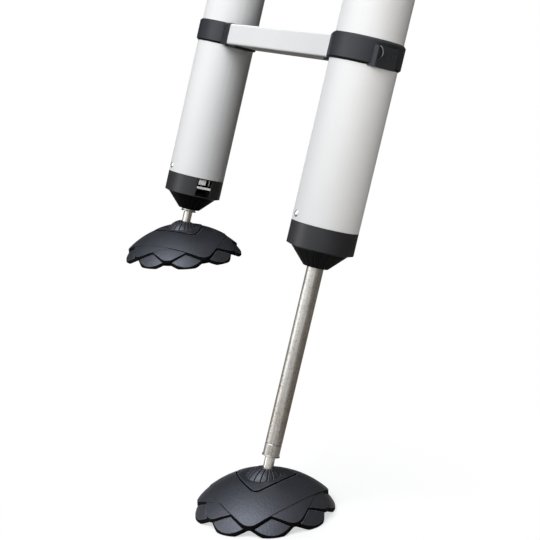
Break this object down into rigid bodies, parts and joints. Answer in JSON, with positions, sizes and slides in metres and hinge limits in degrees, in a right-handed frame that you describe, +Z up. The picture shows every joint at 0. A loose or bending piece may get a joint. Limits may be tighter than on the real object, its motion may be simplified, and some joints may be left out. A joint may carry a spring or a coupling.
{
  "type": "ladder foot",
  "caption": "Foot end of a round-stile ladder: sliding levelling legs with lock tabs, capped stiles, a bottom rung in collars and petal pads on ball joints.",
  "frame": {"origin": "centre of the right pad's sole, on the ground", "axes": "+Z up, +X along the rung from the left stile to the right stile, +Y towards the wall the ladder leans on"},
  "size_m": [0.5675, 0.304, 0.662],
  "materials": {
    "silver_aluminium": "satin silver anodised",
    "plain_aluminium": "plain",
    "black_plastic": "fine satin",
    "stainless": "brushed lengthwise",
    "bright_steel": "zinc plated",
    "black_steel": "black oxide",
    "brass": "turned",
    "white_nylon": "moulded",
    "pad_black": "moulded, soft sheen",
    "sole_rubber": "moulded tread"
  },
  "bodies": {
    "frame": {"left_stile_tube": "silver_aluminium", "left_rung_plug": "plain_aluminium", "left_collar": "black_plastic", "left_end_cap": "black_plastic", "left_nose_bush": "brass", "left_fulcrum_pin": "bright_steel", "left_spring_keeper": "bright_steel", "left_stop_post": "bright_steel", "left_lock_spring": "bright_steel", "right_stile_tube": "silver_aluminium", "right_rung_plug": "plain_aluminium", "right_collar": "black_plastic", "right_end_cap": "black_plastic", "right_nose_bush": "brass", "right_fulcrum_pin": "bright_steel", "right_spring_keeper": "bright_steel", "right_stop_post": "bright_steel", "right_lock_spring": "bright_steel", "rung": "silver_aluminium", "rung_rivets": "plain_aluminium", "cap_rivets": "plain_aluminium", "collar_screws": "black_steel"},
    "left_leg": {"left_leg_tube": "stainless", "left_glide": "white_nylon", "left_glide_pin": "bright_steel", "left_stud_bush": "brass"},
    "left_lock": {"left_lock_plate": "bright_steel"},
    "left_stud": {"left_ball_stud": "stainless", "left_stud_clip": "bright_steel", "left_ribbed_ball": "black_plastic"},
    "left_liner": {"left_socket_liner": "black_plastic"},
    "left_pad": {"left_pad_base": "pad_black", "left_pad_cover": "pad_black", "left_retainer": "pad_black", "left_sole": "sole_rubber", "left_pad_screws": "bright_steel"},
    "right_leg": {"right_leg_tube": "stainless", "right_glide": "white_nylon", "right_glide_pin": "bright_steel", "right_stud_bush": "brass"},
    "right_lock": {"right_lock_plate": "bright_steel"},
    "right_stud": {"right_ball_stud": "stainless", "right_stud_clip": "bright_steel", "right_ribbed_ball": "black_plastic"},
    "right_liner": {"right_socket_liner": "black_plastic"},
    "right_pad": {"right_pad_base": "pad_black", "right_pad_cover": "pad_black", "right_retainer": "pad_black", "right_sole": "sole_rubber", "right_pad_screws": "bright_steel"}
  },
  "joints": [
    {"name": "left_leg_slide", "type": "slide", "parent": "frame", "child": "left_leg", "axis": [0, -0.289, -0.9573], "range_m": [0, 0.215]},
    {"name": "left_lock_press", "type": "hinge", "parent": "frame", "child": "left_lock", "pos_m": [-0.43, 0.08213, 0.30002], "axis": [0, 0.9573, -0.289], "range_deg": [0, 4], "stiffness_Nm_per_rad": 2, "springref_deg": -8.59, "deforming": ["left_lock_spring"]},
    {"name": "left_stud_spin", "type": "hinge", "parent": "left_leg", "child": "left_stud", "pos_m": [-0.41, 0.06214, 0.23382], "axis": [0, 0.289, 0.9573], "continuous": true},
    {"name": "left_pad_tilt", "type": "hinge", "parent": "left_stud", "child": "left_liner", "pos_m": [-0.41, 0.06214, 0.23382], "axis": [1, 0, 0], "range_deg": [-46.8, 13.2]},
    {"name": "left_pad_spin", "type": "hinge", "parent": "left_liner", "child": "left_pad", "pos_m": [-0.41, 0.06214, 0.23382], "axis": [0, 0, 1], "continuous": true},
    {"name": "right_leg_slide", "type": "slide", "parent": "frame", "child": "right_leg", "axis": [0, 0.289, 0.9573], "range_m": [0, 0.215]},
    {"name": "right_lock_press", "type": "hinge", "parent": "frame", "child": "right_lock", "pos_m": [0.02, 0.08213, 0.30002], "axis": [0, -0.9573, 0.289], "range_deg": [0, 4], "stiffness_Nm_per_rad": 2, "springref_deg": -8.59, "deforming": ["right_lock_spring"]},
    {"name": "right_stud_spin", "type": "hinge", "parent": "right_leg", "child": "right_stud", "pos_m": [0, 0, 0.028], "axis": [0, 0.289, 0.9573], "continuous": true},
    {"name": "right_pad_tilt", "type": "hinge", "parent": "right_stud", "child": "right_liner", "pos_m": [0, 0, 0.028], "axis": [1, 0, 0], "range_deg": [-46.8, 13.2]},
    {"name": "right_pad_spin", "type": "hinge", "parent": "right_liner", "child": "right_pad", "pos_m": [0, 0, 0.028], "axis": [0, 0, 1], "continuous": true}
  ]
}
